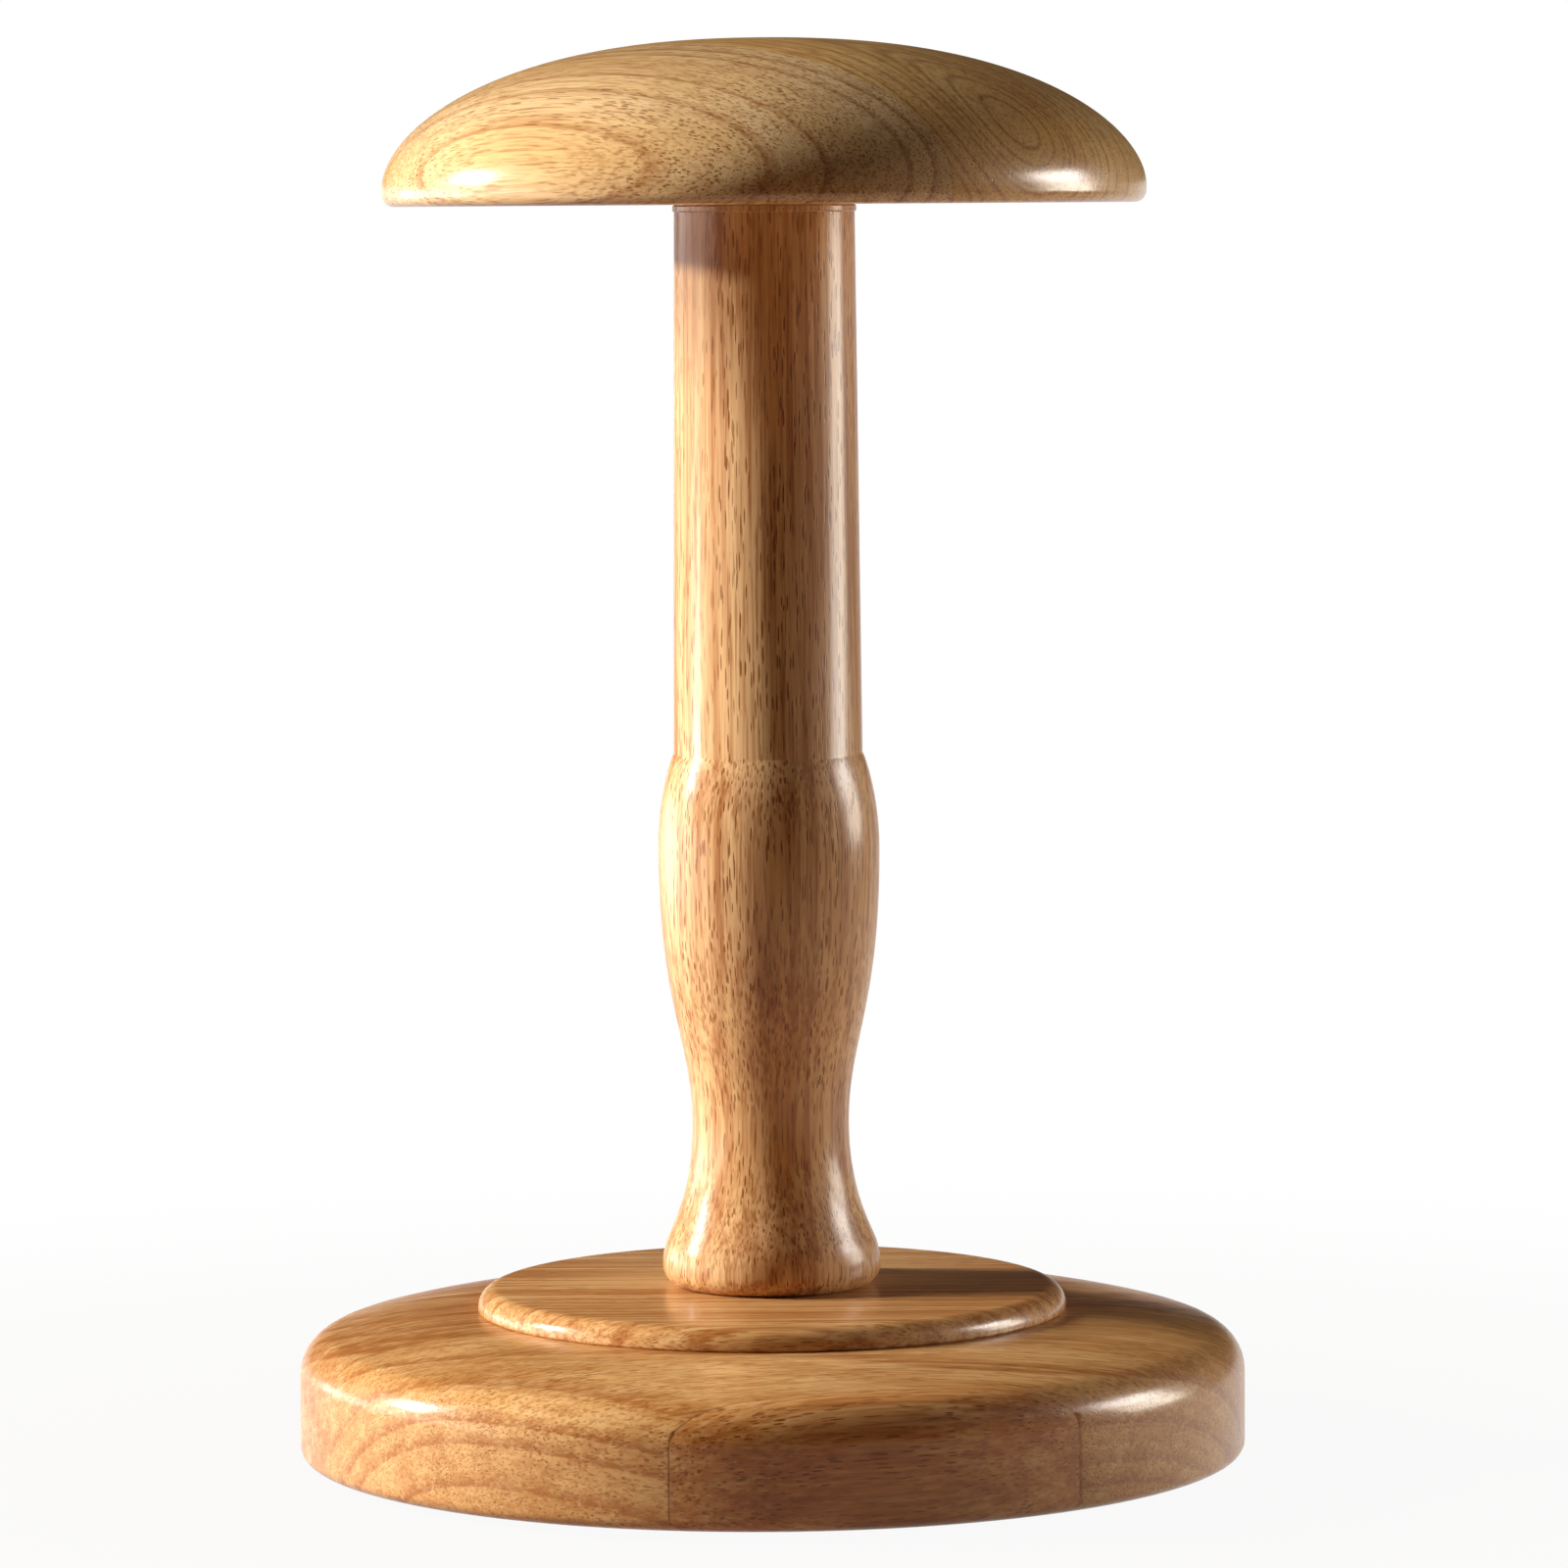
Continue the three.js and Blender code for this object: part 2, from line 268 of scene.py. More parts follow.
# Metals: the tone, the tone of dull patches, the tone of bright edges, the roughness and the pieces
METALS = {
    "zinc_steel": (
        (196, 198, 200), (150, 154, 160), (226, 226, 222), 0.25,
        ("connector_bolt", "hanger_bolt", "flat_washer"),
    ),
    "insert_brass": (
        (208, 172, 92), (150, 116, 58), (232, 204, 130), 0.3,
        ("column_insert", "head_insert"),
    ),
}
METAL_MARK_CELLS = (0.4, 0.4, 9.0)
METAL_PATCH_CELLS = 0.35
METAL_PATCH_LIMITS = (0.4, 0.7)
METAL_DULLING_LIMITS = (0.3, 0.8)
METAL_DULLING = 0.2
METAL_BUMP = (0.03, 0.5)

# Floor, in metres: it glows white where it is seen, least under the stand, so that it keeps the shadow
WHITE = (1, 1, 1, 1)
FLOOR_REACH = 0.7
FLOOR_COLOUR = (150, 116, 86)
FLOOR_ROUGHNESS = 0.9
GLOW_REACH = (0.1, 0.5)
GLOW_LEAST = 0.94

# Surroundings: dim light from all round, and the directions, by their height and depth, in which gloss
# mirrors white: first the value where the white begins, then the one where it is full
AMBIENT_COLOUR = (1.0, 0.68, 0.42)
AMBIENT_STRENGTH = 0.04
BACKDROP_HEIGHT = (0.04, 0.0)
BACKDROP_DEPTH = (0.5, 0.95)

# Lamps: azimuth from the viewer's side towards the right and elevation, both in degrees; distance, width and
# height in metres; power; tint; and use, which is to light surfaces (diffuse), to show in gloss, or both
LIGHT_AIM = (0, 0, 150)
LAMPS = {
    "key": (-93, 14, 3.0, 0.4, 0.14, 100, (1.0, 0.99, 0.97), "diffuse"),
    "key's shine": (-99, 17, 3.0, 0.5, 0.8, 86, (1.0, 0.99, 0.97), "gloss"),
    "left panel": (-102, -4, 2.0, 2.9, 0.5, 34, (1.0, 1.0, 1.0), "gloss"),
    "crown panel": (-90, 28, 2.0, 0.3, 0.6, 46, (1.0, 0.99, 0.97), "diffuse"),
    "window": (102, 3, 1.6, 0.62, 0.32, 12, (1.0, 0.93, 0.8), "both"),
    "window's shine": (98, 16, 1.6, 0.6, 0.36, 19, (1.0, 0.97, 0.92), "gloss"),
}


# Meshes

def arc(centre_radius, centre_height, radius, start, end, steps=ROUNDING_STEPS):
    """Outline points on an arc. Angles in degrees run from outward (0) over upward (90)."""
    points = []
    for i in range(steps + 1):
        angle = math.radians(start + (end - start) * i / steps)
        points.append((centre_radius + radius * math.cos(angle), centre_height + radius * math.sin(angle)))
    return points


def sweep(start, start_pull, end_pull, end):
    """Outline points on a cubic curve, without its first point."""
    corners = (start, start_pull, end_pull, end)
    points = []
    for i in range(1, CURVE_STEPS + 1):
        gone = i / CURVE_STEPS
        left = 1 - gone
        shares = (left ** 3, 3 * gone * left ** 2, 3 * gone * gone * left, gone ** 3)
        radius = sum(share * corner[0] for share, corner in zip(shares, corners))
        height = sum(share * corner[1] for share, corner in zip(shares, corners))
        points.append((radius, height))
    return points


def turn(outline, segments, closed=False):
    """A mesh in metres of an outline of (radius, height) turned about the Z axis."""
    bm = bmesh.new()
    rings = []
    for radius, height in outline:
        # A point on the axis is a single corner, shared by all the faces that meet there
        ring = []
        for i in range(segments if radius > 0 else 1):
            angle = math.tau * i / segments
            place = (radius * math.cos(angle) * MM, radius * math.sin(angle) * MM, height * MM)
            ring.append(bm.verts.new(place))
        rings.append(ring)
    following = rings[1:] + rings[:1] if closed else rings[1:]
    for one, other in zip(rings, following):
        for i in range(segments):
            j = (i + 1) % segments
            corners = [one[i % len(one)], one[j % len(one)], other[j % len(other)], other[i % len(other)]]
            bm.faces.new(list(dict.fromkeys(corners)))
    return bm


def place_mesh(bm, name, material):
    """Puts a mesh into the scene as an object."""
    mesh = bpy.data.meshes.new(name)
    bm.to_mesh(mesh)
    bm.free()
    mesh.materials.append(material)
    piece = bpy.data.objects.new(name, mesh)
    bpy.context.scene.collection.objects.link(piece)
    return piece


def finish_mesh(bm, name, material):
    """Turns a mesh into a smooth object with its sharp edges marked."""
    bmesh.ops.recalc_face_normals(bm, faces=bm.faces)
    for face in bm.faces:
        face.smooth = True
    for edge in bm.edges:
        edge.smooth = edge.calc_face_angle(0) < math.radians(SHARP_ANGLE)
    return place_mesh(bm, name, material)


def stand_for(piece, node):
    """Lets a piece take the place of its solid."""
    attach(piece, "root")
    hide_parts(node)


def cut_board(blank, azimuth, low, high):
    """The part of a blank between two glue planes. Open ends are given as None."""
    board = blank.copy()
    angle = math.radians(azimuth)
    across = Vector((-math.sin(angle), math.cos(angle), 0))
    for offset, outward in ((low, -1), (high, 1)):
        if offset is None:
            continue
        place = across * (offset - outward * GLUE_GAP / 2) * MM
        everything = board.verts[:] + board.edges[:] + board.faces[:]
        cut = bmesh.ops.bisect_plane(
            board, geom=everything, plane_co=place, plane_no=across * outward, clear_outer=True,
        )
        rim = [item for item in cut["geom_cut"] if isinstance(item, bmesh.types.BMEdge)]
        bmesh.ops.holes_fill(board, edges=rim, sides=0)
    return board


def make_boards(name, blank, azimuth, glue, looks):
    """Cuts a blank into its boards, each with its own piece of wood."""
    edges = [None, *glue, None]
    for i, look in enumerate(looks):
        board = cut_board(blank, azimuth, edges[i], edges[i + 1])
        node = f"{name}_board_{i + 1}"
        material = wood(node, azimuth, look, glue)
        stand_for(finish_mesh(board, f"{node}_wood", material), node)
    blank.free()


def base_blank():
    """The lower disc, whose crown meets the rim's rounding without a crease."""
    step_edge = STEP_RADIUS - STEP_TUCK
    rim_centre = BASE_RADIUS - BASE_RIM_ROUNDING
    crown_reach = BASE_CROWN - BASE_RIM_ROUNDING
    crown_run = rim_centre - step_edge
    crown_centre = BASE_TOP - BASE_CROWN
    rim_height = crown_centre + math.sqrt(crown_reach ** 2 - crown_run ** 2)
    meeting = math.degrees(math.acos(crown_run / crown_reach))
    foot_centre = BASE_RADIUS - BASE_FOOT_ROUNDING
    foot_height = PAD_THICKNESS + BASE_FOOT_ROUNDING
    return turn(
        [
            (COUNTERBORE_RADIUS, PAD_THICKNESS),
            ((COUNTERBORE_RADIUS + foot_centre) / 2, PAD_THICKNESS),
            *arc(foot_centre, foot_height, BASE_FOOT_ROUNDING, -90, 0),
            (BASE_RADIUS, (foot_height + rim_height) / 2),
            *arc(rim_centre, rim_height, BASE_RIM_ROUNDING, 0, meeting),
            *arc(step_edge, crown_centre, BASE_CROWN, meeting, 90, CURVE_STEPS)[1:],
            (BOLT_HOLE_RADIUS, BASE_TOP),
            (BOLT_HOLE_RADIUS, COUNTERBORE_TOP),
            (COUNTERBORE_RADIUS, COUNTERBORE_TOP),
        ],
        DISC_SEGMENTS,
        closed=True,
    )


def step_blank():
    """The upper disc, rounded over at the top and tucked in a little at its foot."""
    return turn(
        [
            (BOLT_HOLE_RADIUS, BASE_TOP),
            *arc(STEP_RADIUS - STEP_TUCK, BASE_TOP + STEP_TUCK, STEP_TUCK, -90, 0),
            *arc(STEP_RADIUS - STEP_ROUNDING, STEP_TOP - STEP_ROUNDING, STEP_ROUNDING, 0, 90),
            (BOLT_HOLE_RADIUS, STEP_TOP),
        ],
        DISC_SEGMENTS,
        closed=True,
    )


def column_outline():
    """The column's outline above the step's top, from the bead to the lip."""
    bead_radius, bead_height = BEAD
    bead_angle = math.asin((BEAD_TOP_HEIGHT - bead_height) / BEAD_UPPER_ROUNDING)
    upper_centre = bead_radius - BEAD_UPPER_ROUNDING
    bead_top = (upper_centre + BEAD_UPPER_ROUNDING * math.cos(bead_angle), BEAD_TOP_HEIGHT)
    column_height = COLUMN_TOP - STEP_TOP
    lip_bottom = column_height - LIP_HEIGHT
    return [
        *arc(bead_radius - bead_height, bead_height, bead_height, -90, 0),
        *arc(upper_centre, bead_height, BEAD_UPPER_ROUNDING, 0, math.degrees(bead_angle))[1:],
        *sweep(
            bead_top,
            (bead_top[0] - math.tan(bead_angle) * BEAD_PULL, bead_top[1] + BEAD_PULL),
            (WAIST[0], WAIST[1] - WAIST_PULLS[0]),
            WAIST,
        ),
        *sweep(WAIST, (WAIST[0], WAIST[1] + WAIST_PULLS[1]), (BULGE[0], BULGE[1] - BULGE_PULLS[0]), BULGE),
        *sweep(
            BULGE,
            (BULGE[0], BULGE[1] + BULGE_PULLS[1]),
            (SHOULDER[0] + SHOULDER_LEAN * SHOULDER_PULL, SHOULDER[1] - SHOULDER_PULL),
            SHOULDER,
        ),
        (NECK_RADIUS, lip_bottom - LIP_PROUD),
        (NECK_RADIUS + LIP_PROUD, lip_bottom),
        (NECK_RADIUS + LIP_PROUD, column_height - LIP_PROUD),
        (NECK_RADIUS, column_height),
    ]


def make_column():
    """The column, with the holes for its insert below and its hanger bolt above."""
    column_height = COLUMN_TOP - STEP_TOP
    outline = [
        (0, INSERT_HOLE_DEPTH),
        (INSERT_HOLE_RADIUS, INSERT_HOLE_DEPTH),
        (INSERT_HOLE_RADIUS, 0),
        *column_outline(),
        (HANGER_HOLE_RADIUS, column_height),
        (HANGER_HOLE_RADIUS, column_height - HANGER_HOLE_DEPTH),
        (0, column_height - HANGER_HOLE_DEPTH),
    ]
    bm = turn([(radius, height + STEP_TOP) for radius, height in outline], COLUMN_SEGMENTS)
    material = wood("column", 0, COLUMN_LOOK, ())
    stand_for(finish_mesh(bm, "column_wood", material), "column")


def head_blank():
    """The domed head, with the hole for its insert."""
    rise = HEAD_TOP - COLUMN_TOP - HEAD_RIM_HEIGHT
    foot_centre = HEAD_RADIUS - HEAD_FOOT_ROUNDING
    dome = []
    for i in range(DOME_STEPS + 1):
        angle = math.pi / 2 * i / DOME_STEPS
        across = 0 if i == DOME_STEPS else math.cos(angle) ** (2 / HEAD_FLATNESS)
        height = rise * math.sin(angle) ** (2 / HEAD_FALL)
        dome.append((HEAD_RADIUS * across, COLUMN_TOP + HEAD_RIM_HEIGHT + height))
    return turn(
        [
            (0, COLUMN_TOP + INSERT_HOLE_DEPTH),
            (INSERT_HOLE_RADIUS, COLUMN_TOP + INSERT_HOLE_DEPTH),
            (INSERT_HOLE_RADIUS, COLUMN_TOP),
            *arc(foot_centre, COLUMN_TOP + HEAD_FOOT_ROUNDING, HEAD_FOOT_ROUNDING, -90, 0),
            *dome,
        ],
        DISC_SEGMENTS,
    )


def make_felt_pads():
    """Pressed felt discs, evenly round the base's underside."""
    material = felt()
    outline = [
        (0, PAD_HOLLOW),
        *arc(PAD_RADIUS - PAD_SOLE_ROUNDING, PAD_SOLE_ROUNDING, PAD_SOLE_ROUNDING, -90, 0),
        *arc(PAD_RADIUS - PAD_TOP_ROUNDING, PAD_THICKNESS - PAD_TOP_ROUNDING, PAD_TOP_ROUNDING, 0, 90),
        (0, PAD_THICKNESS),
    ]
    for i in range(PAD_COUNT):
        bm = turn(outline, SMALL_SEGMENTS)
        angle = math.tau * (i + 0.5) / PAD_COUNT
        place = Vector((math.cos(angle), math.sin(angle), 0)) * PAD_REACH * MM
        bmesh.ops.translate(bm, verts=bm.verts, vec=place)
        node = f"felt_pad_{i + 1}"
        stand_for(finish_mesh(bm, f"{node}_felt", material), node)


# Materials

def linear(shown):
    """A colour as it shows, in 0 to 255, as the linear values that shaders take, by the standard curve."""
    values = [part / 255 / 12.92 if part < 11 else ((part / 255 + 0.055) / 1.055) ** 2.4 for part in shown]
    return (*values, 1)


class Nodes:
    """Short ways to add and link the nodes of a material or of the surroundings."""

    def __init__(self, owner):
        self.owner = owner
        owner.use_nodes = True
        self.tree = owner.node_tree

    def put(self, socket, value):
        """Links a value that is itself a socket, or else sets it."""
        if isinstance(value, bpy.types.NodeSocket):
            self.tree.links.new(value, socket)
        else:
            socket.default_value = value

    def fill(self, node, inputs):
        """Puts a node's inputs, each named with _ for a space."""
        for name, value in inputs.items():
            self.put(node.inputs[name.replace("_", " ")], value)
        return node

    def add(self, kind, **inputs):
        """A new node with its inputs put."""
        return self.fill(self.tree.nodes.new(kind), inputs)

    def surface(self, **inputs):
        """Puts the inputs of the material's own shader, and gives the material."""
        self.fill(self.tree.nodes["Principled BSDF"], inputs)
        return self.owner

    def maths(self, operation, *values):
        node = self.add("ShaderNodeMath")
        node.operation = operation
        for socket, value in zip(node.inputs, values):
            self.put(socket, value)
        return node.outputs[0]

    def vector(self, operation, *values):
        node = self.add("ShaderNodeVectorMath")
        node.operation = operation
        for socket, value in zip(node.inputs, values):
            self.put(socket, value)
        return node.outputs["Value" if operation == "LENGTH" else "Vector"]

    def part(self, axis, place):
        """One of a place's three parts, named X, Y or Z."""
        return self.add("ShaderNodeSeparateXYZ", Vector=place).outputs[axis]

    def ramp(self, value, low, high, to_low=0.0, to_high=1.0):
        """A value's place between two limits, smoothed."""
        node = self.add(
            "ShaderNodeMapRange", Value=value, From_Min=low, From_Max=high, To_Min=to_low, To_Max=to_high,
        )
        node.interpolation_type = "SMOOTHSTEP"
        return node.outputs["Result"]

    def noise(self, place, scale=1.0, detail=2.0, roughness=0.5):
        return self.add(
            "ShaderNodeTexNoise", Vector=place, Scale=scale, Detail=detail, Roughness=roughness,
        ).outputs

    def blend(self, share, one, other):
        """Mixes two colours, each a socket or a colour as it shows."""
        node = self.add("ShaderNodeMix")
        node.data_type = "RGBA"
        self.put(node.inputs[0], share)
        for socket, tone in ((node.inputs[6], one), (node.inputs[7], other)):
            self.put(socket, tone if isinstance(tone, bpy.types.NodeSocket) else linear(tone))
        return node.outputs[2]

    def mix(self, share, one, other):
        """Mixes two shaders."""
        node = self.add("ShaderNodeMixShader")
        for socket, value in zip(node.inputs, (share, one, other)):
            self.put(socket, value)
        return node.outputs[0]

    def bump(self, height, bump, below=None):
        """Bumps of a depth in millimetres and a strength, over those below."""
        depth, strength = bump
        node = self.add("ShaderNodeBump", Strength=strength, Distance=depth * MM, Height=height)
        if below is not None:
            self.put(node.inputs["Normal"], below)
        return node.outputs["Normal"]

    def pointiness(self):
        """How sharply the surface turns outward: a half where it is flat, and more at an edge."""
        return self.add("ShaderNodeNewGeometry").outputs["Pointiness"]

    def rays(self, *kinds):
        """1 for rays of these kinds, and 0 for all others."""
        path = self.add("ShaderNodeLightPath")
        found, *others = (path.outputs[f"Is {kind} Ray"] for kind in kinds)
        for other in others:
            found = self.maths("MAXIMUM", found, other)
        return found

    def millimetres(self, rotation=(0, 0, 0)):
        """The place on the piece, in millimetres, turned."""
        place = self.add("ShaderNodeTexCoord").outputs["Object"]
        turned = [math.radians(angle) for angle in rotation]
        return self.add("ShaderNodeMapping", Vector=place, Scale=(1 / MM,) * 3, Rotation=turned).outputs[0]


def cells(nodes, place, along, across=None):
    """A place counted in cells of one length along the fibres and another across them."""
    across = across or along
    return nodes.vector("MULTIPLY", place, (1 / along, 1 / across, 1 / across))


def tinge(nodes, body, figure, effect, tone, share=1.0):
    """Lays a tone over the body where the figure is within the effect's limits."""
    start, full, strength = effect
    return nodes.blend(nodes.ramp(figure, start, full, 0.0, strength * share), body, tone)


def fibre_place(nodes, look):
    """The place on the piece with X along its fibres, in millimetres."""
    upright = look["fibres"] is None
    straight = nodes.millimetres((0, 90, 0) if upright else (0, 0, -look["fibres"]))
    along = nodes.part("X", straight)
    sideways, up = look["drift"]
    run = nodes.add("ShaderNodeCombineXYZ", X=along, Y=along, Z=along).outputs[0]
    return nodes.vector("ADD", straight, nodes.vector("MULTIPLY", run, (0, -sideways, -up)))


def pith_distance(nodes, grain, seeded, look):
    """How far a place is from the pith, measured across the fibres along a slightly wandering way."""
    noise = nodes.noise(cells(nodes, seeded, *WANDER_LENGTHS))["Color"]
    # The noise swings by a half either way, so twice that swing is the whole of the wander
    swing = nodes.vector("SUBTRACT", noise, (0.5, 0.5, 0.5))
    wander = nodes.vector("MULTIPLY", swing, (0, look["wander"] * 2, look["wander"] * 2))
    beside = nodes.vector("SUBTRACT", nodes.vector("ADD", grain, wander), (0, *look["pith"]))
    return nodes.vector("LENGTH", nodes.vector("MULTIPLY", beside, (0, 1, 1)))


def bold_rings(nodes, distance, look):
    """Dark bands that start sharply at the bold rings and fade outward."""
    bands = 0.0
    for radius in look["bold"]:
        beyond = nodes.maths("SUBTRACT", distance, radius)
        fading = nodes.ramp(beyond, look["band"], RING_EDGE[1])
        band = nodes.maths("MULTIPLY", nodes.ramp(beyond, *RING_EDGE), fading)
        bands = nodes.maths("MAXIMUM", bands, band)
    return bands


def pore_mask(nodes, place, distance):
    """Open pores: dashes along the fibres and dots where these are cut across."""
    sway = nodes.noise(cells(nodes, place, PORE_SWAY_LENGTH), detail=1.0)["Color"]
    place = nodes.vector("ADD", place, nodes.vector("MULTIPLY", sway, (0, PORE_SWAY, PORE_SWAY)))
    masks = []
    for spacing, length, radius, absent in PORES:
        cell = cells(nodes, place, length, spacing)
        spots = nodes.add("ShaderNodeTexVoronoi", Vector=cell, Scale=1.0).outputs
        present = nodes.ramp(nodes.part("X", spots["Color"]), absent, absent + PORE_ONSET)
        hole = nodes.ramp(spots["Distance"], radius, radius * PORE_CORE)
        masks.append(nodes.maths("MULTIPLY", present, hole))
    patches = nodes.noise(cells(nodes, place, *CROWD_LENGTHS), detail=1.0)["Fac"]
    rings = nodes.noise(cells(nodes, distance, CROWD_RING_GAP), detail=1.0)["Fac"]
    crowd = nodes.ramp(nodes.maths("ADD", patches, rings), *CROWD_LIMITS, CROWD_LEAST, 1.0)
    return nodes.maths("MULTIPLY", nodes.maths("MAXIMUM", *masks), crowd)


def grown_colour(nodes, seeded, distance, streaks, hairs, look):
    """The colour as the wood grew: patches, fine and bold rings, broad and narrow streaks, and hairs."""
    patches = nodes.noise(cells(nodes, seeded, *PATCH_LENGTHS))["Fac"]
    body = nodes.blend(nodes.ramp(patches, *PATCH_LIMITS), *look["tones"])
    fine = nodes.noise(cells(nodes, distance, FINE_RING_GAP))["Fac"]
    body = tinge(nodes, body, fine, FINE_DARK, LINE_COLOUR)
    body = tinge(nodes, body, fine, FINE_PALE, PALE_COLOUR)
    unbroken = nodes.ramp(streaks, *RING_BREAKS, look["lines"] * RING_WEAKEST, look["lines"])
    bands = nodes.maths("MULTIPLY", bold_rings(nodes, distance, look), unbroken)
    body = nodes.blend(bands, body, LINE_COLOUR)
    broad = nodes.noise(cells(nodes, seeded, *BROAD_LENGTHS))["Fac"]
    for figure, effect, tone in (
        (broad, BROAD_DARK, LINE_COLOUR),
        (broad, BROAD_PALE, PALE_COLOUR),
        (streaks, STREAK_DARK, LINE_COLOUR),
        (streaks, STREAK_PALE, PALE_COLOUR),
    ):
        body = tinge(nodes, body, figure, effect, tone, look["streaks"])
    return tinge(nodes, body, hairs, HAIR_DARK, LINE_COLOUR)


def work_marks(nodes, body, hairs, azimuth, glue):
    """Adds the worn edges, and the glue lines of a blank whose boards run at an azimuth."""
    across = nodes.part("Y", nodes.millimetres((0, 0, -azimuth)))
    lines = [nodes.maths("ABSOLUTE", nodes.maths("SUBTRACT", across, offset)) for offset in glue]
    frayed = nodes.maths("ADD", nodes.pointiness(), nodes.maths("MULTIPLY", hairs, WEAR_RAGGED))
    worn = nodes.ramp(frayed, *WEAR_LIMITS)
    for near in lines:
        worn = nodes.maths("MULTIPLY", worn, nodes.ramp(near, *WEAR_CLEARANCE))
    body = nodes.blend(nodes.maths("MULTIPLY", worn, WEAR_STRENGTH), body, PALE_COLOUR)
    for near in lines:
        body = tinge(nodes, body, near, GLUE_TINGE, GLUE_COLOUR)
    return body


def wood(name, azimuth, look, glue):
    """Lacquered hardwood with rings, streaks and pores, and the glue lines of its blank."""
    nodes = Nodes(bpy.data.materials.new(name))
    grain = fibre_place(nodes, look)
    seeded = nodes.vector("ADD", grain, tuple(look["seed"] * shift for shift in SEED_SHIFT))
    distance = pith_distance(nodes, grain, seeded, look)
    streaks = nodes.noise(cells(nodes, seeded, *STREAK_LENGTHS), detail=3.0, roughness=0.6)["Fac"]
    hairs = nodes.noise(cells(nodes, seeded, *HAIR_LENGTHS))["Fac"]
    pores = pore_mask(nodes, seeded, distance)
    body = grown_colour(nodes, seeded, distance, streaks, hairs, look)
    body = nodes.blend(nodes.maths("MULTIPLY", pores, look["pores"]), body, PORE_COLOUR)
    body = work_marks(nodes, body, hairs, azimuth, glue)
    return nodes.surface(
        Base_Color=body,
        Roughness=nodes.ramp(streaks, *WOOD_ROUGHNESS_LIMITS, *WOOD_ROUGHNESS),
        Specular_IOR_Level=WOOD_SPECULAR,
        Coat_Weight=look["coat"],
        Coat_Roughness=COAT_ROUGHNESS,
        Coat_IOR=COAT_IOR,
        Normal=nodes.bump(pores, PORE_BUMP, nodes.bump(hairs, HAIR_BUMP)),
        Coat_Normal=nodes.bump(pores, COAT_BUMP),
    )


def felt():
    """Pressed felt: fuzz, with paler loose hairs on it."""
    nodes = Nodes(bpy.data.materials.new("felt"))
    place = nodes.millimetres()
    fuzz = nodes.noise(place, scale=FELT_FUZZ_CELLS, detail=6.0, roughness=0.75)["Fac"]
    hairs = nodes.noise(nodes.vector("MULTIPLY", place, FELT_HAIR_CELLS), detail=4.0)["Fac"]
    body = nodes.blend(nodes.ramp(fuzz, *FELT_FUZZ_LIMITS), *FELT_TONES)
    return nodes.surface(
        Base_Color=tinge(nodes, body, hairs, FELT_HAIR_TINGE, FELT_HAIR_COLOUR),
        Roughness=FELT_ROUGHNESS,
        Sheen_Weight=FELT_SHEEN,
        Normal=nodes.bump(fuzz, FELT_BUMP),
    )


def metal(name, tone, dull_tone, bright_tone, roughness):
    """Plated or machined metal with turning marks, dull patches and bright edges."""
    nodes = Nodes(bpy.data.materials.new(name))
    place = nodes.millimetres()
    marks = nodes.noise(nodes.vector("MULTIPLY", place, METAL_MARK_CELLS))["Fac"]
    patches = nodes.noise(place, scale=METAL_PATCH_CELLS, detail=4.0)["Fac"]
    body = nodes.blend(nodes.ramp(patches, *METAL_PATCH_LIMITS), tone, dull_tone)
    return nodes.surface(
        Base_Color=nodes.blend(nodes.ramp(nodes.pointiness(), *WEAR_LIMITS), body, bright_tone),
        Metallic=1.0,
        Roughness=nodes.ramp(patches, *METAL_DULLING_LIMITS, roughness, roughness + METAL_DULLING),
        Normal=nodes.bump(marks, METAL_BUMP),
    )


def dress_metal():
    """Gives the hidden screws and inserts their metals."""
    for name, (*looks, pieces) in METALS.items():
        material = metal(name, *looks)
        for node in pieces:
            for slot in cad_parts[node].material_slots:
                slot.material = material


# Stage, lights and camera

def floor_material():
    """White with its shadow where it is seen, plain in the light that it gives back, and clear from below."""
    nodes = Nodes(bpy.data.materials.new("floor"))
    nodes.surface(Base_Color=linear(FLOOR_COLOUR), Roughness=FLOOR_ROUGHNESS)
    plain = nodes.tree.nodes["Principled BSDF"].outputs[0]
    glow = nodes.add("ShaderNodeEmission", Color=WHITE, Strength=1.0).outputs[0]
    away = nodes.vector("LENGTH", nodes.add("ShaderNodeTexCoord").outputs["Object"])
    seen = nodes.rays("Camera", "Glossy", "Transmission")
    share = nodes.maths("MULTIPLY", seen, nodes.ramp(away, *GLOW_REACH, GLOW_LEAST, 1.0))
    below = nodes.add("ShaderNodeNewGeometry").outputs["Backfacing"]
    clear = nodes.add("ShaderNodeBsdfTransparent").outputs[0]
    sheet = nodes.mix(below, nodes.mix(share, plain, glow), clear)
    nodes.put(nodes.tree.nodes["Material Output"].inputs["Surface"], sheet)
    return nodes.owner


def make_stage():
    """A plain floor under the stand."""
    bm = bmesh.new()
    bmesh.ops.create_grid(bm, x_segments=1, y_segments=1, size=FLOOR_REACH)
    floor = place_mesh(bm, "floor", floor_material())


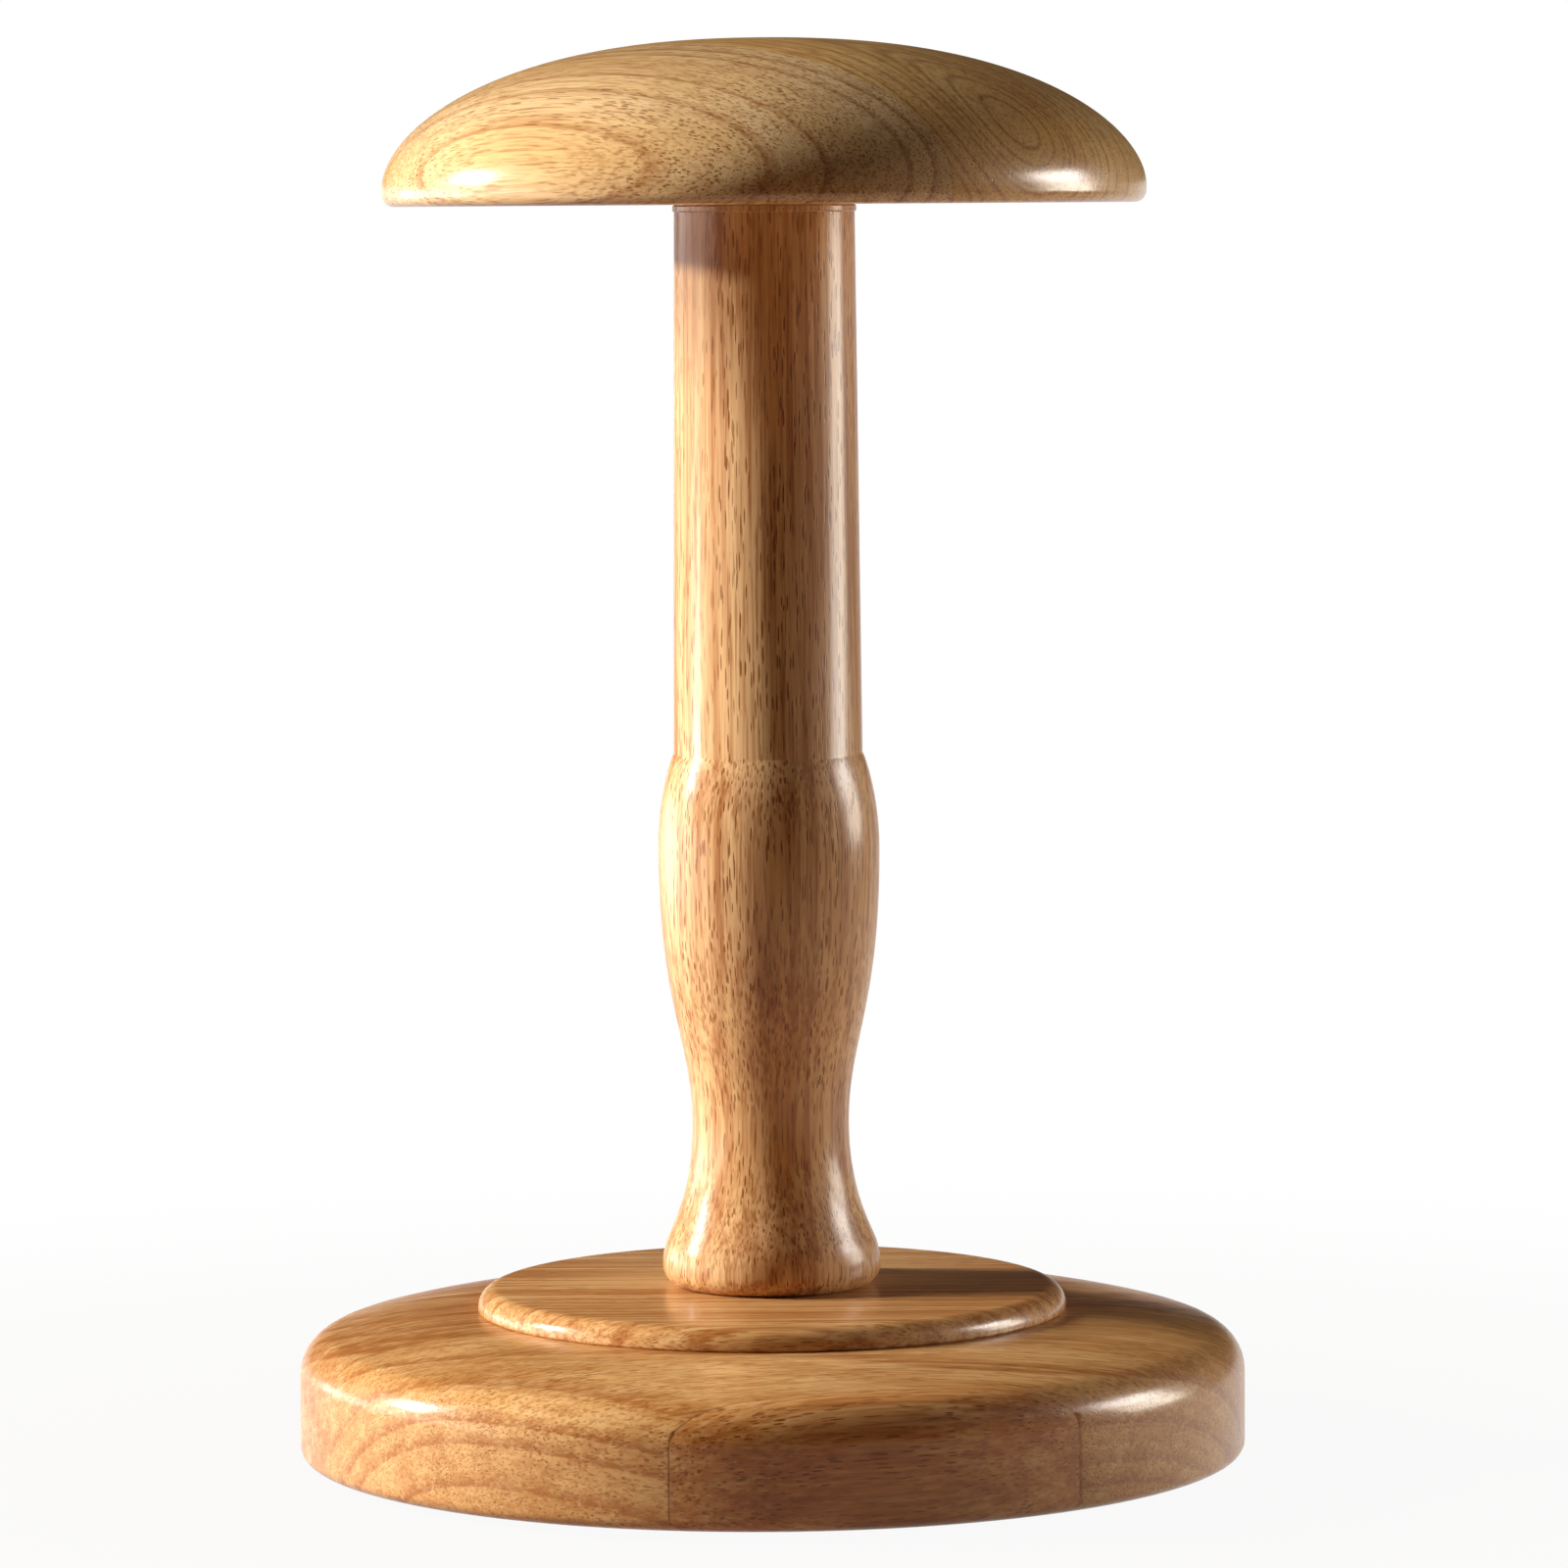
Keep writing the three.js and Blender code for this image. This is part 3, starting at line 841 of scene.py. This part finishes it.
def make_world():
    """White where it is seen, mirrored only low at the back, and a dim warm light on everything."""
    world = bpy.data.worlds.new("studio")
    bpy.context.scene.world = world
    nodes = Nodes(world)
    direction = nodes.add("ShaderNodeTexCoord").outputs["Generated"]
    low = nodes.ramp(nodes.part("Z", direction), *BACKDROP_HEIGHT)
    behind = nodes.ramp(nodes.part("Y", direction), *BACKDROP_DEPTH)
    backdrop = nodes.maths("MULTIPLY", low, behind)
    mirrored = nodes.maths("MULTIPLY", nodes.rays("Glossy", "Transmission"), backdrop)
    seen = nodes.maths("MAXIMUM", nodes.rays("Camera"), mirrored)
    ambient = nodes.tree.nodes["Background"]
    nodes.fill(ambient, {"Color": (*AMBIENT_COLOUR, 1), "Strength": AMBIENT_STRENGTH})
    white = nodes.add("ShaderNodeBackground", Color=WHITE, Strength=1.0)
    mixed = nodes.mix(seen, ambient.outputs[0], white.outputs[0])
    nodes.put(nodes.tree.nodes["World Output"].inputs["Surface"], mixed)


def make_lamps():
    """Rectangular lamps round the stand, all aimed at its middle and none of them seen."""
    aim = Vector(LIGHT_AIM) * MM
    for name, (azimuth, elevation, distance, width, height, power, tint, use) in LAMPS.items():
        lamp = bpy.data.lights.new(name, "AREA")
        lamp.shape = "RECTANGLE"
        lamp.size = width
        lamp.size_y = height
        lamp.energy = power
        lamp.color = tint
        around = math.radians(azimuth)
        up = math.radians(elevation)
        toward = Vector((math.sin(around) * math.cos(up), -math.cos(around) * math.cos(up), math.sin(up)))
        holder = bpy.data.objects.new(name, lamp)
        holder.location = aim + toward * distance
        holder.rotation_euler = toward.to_track_quat("Z", "Y").to_euler()
        holder.visible_camera = False
        holder.visible_glossy = use != "diffuse"
        holder.visible_diffuse = use != "gloss"
        bpy.context.scene.collection.objects.link(holder)


def make_camera():
    """The viewer's camera, level with the head and tipped down a little."""
    camera = bpy.data.cameras.new("camera")
    camera.lens = LENS
    camera.sensor_width = SENSOR
    camera.clip_start, camera.clip_end = CAMERA_REACH
    holder = bpy.data.objects.new("camera", camera)
    bpy.context.scene.collection.objects.link(holder)
    pitched = Matrix.Rotation(math.radians(90 + CAMERA_PITCH), 4, "X")
    rolled = Matrix.Rotation(math.radians(CAMERA_ROLL), 4, "Z")
    holder.matrix_world = Matrix.Translation(Vector(CAMERA_PLACE) * MM) @ pitched @ rolled
    bpy.context.scene.camera = holder


bpy.context.scene.view_settings.view_transform = "Standard"
make_camera()
make_lamps()
make_world()
make_stage()
make_boards("base", base_blank(), BASE_AZIMUTH, BASE_GLUE, BASE_LOOKS)
make_boards("step", step_blank(), STEP_AZIMUTH, STEP_GLUE, STEP_LOOKS)
make_boards("head", head_blank(), HEAD_AZIMUTH, HEAD_GLUE, HEAD_LOOKS)
make_column()
make_felt_pads()
dress_metal()
